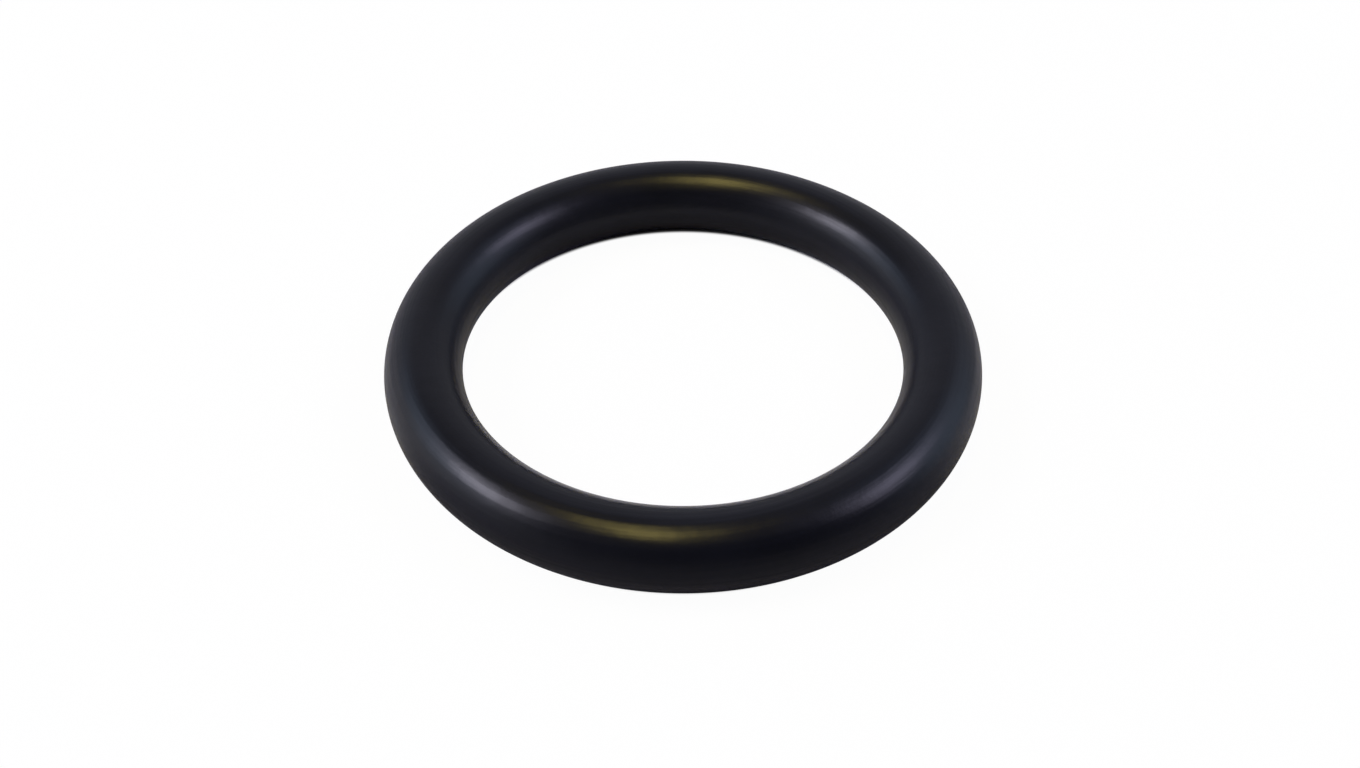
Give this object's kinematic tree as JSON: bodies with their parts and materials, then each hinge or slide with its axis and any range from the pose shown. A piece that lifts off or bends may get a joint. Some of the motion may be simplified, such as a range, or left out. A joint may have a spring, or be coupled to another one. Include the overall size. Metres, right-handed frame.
{
  "type": "o-ring",
  "caption": "Rubber sealing ring of round section. It sits in a groove round a shaft or inside a bore and is squeezed there to keep a fluid or gas from passing.",
  "frame": {"origin": "centre of the ring, at mid-height of its section", "axes": "+Z along the ring's axis. The ring is the same all round and the same both ways up, so +X and +Y are any two directions square to each other across it"},
  "size_m": [0.0272, 0.0272, 0.0036],
  "materials": {
    "rubber": "satin black, moulded smooth, with the parting line trimmed flush"
  },
  "bodies": {
    "root": {"o_ring": "rubber"}
  },
  "joints": []
}
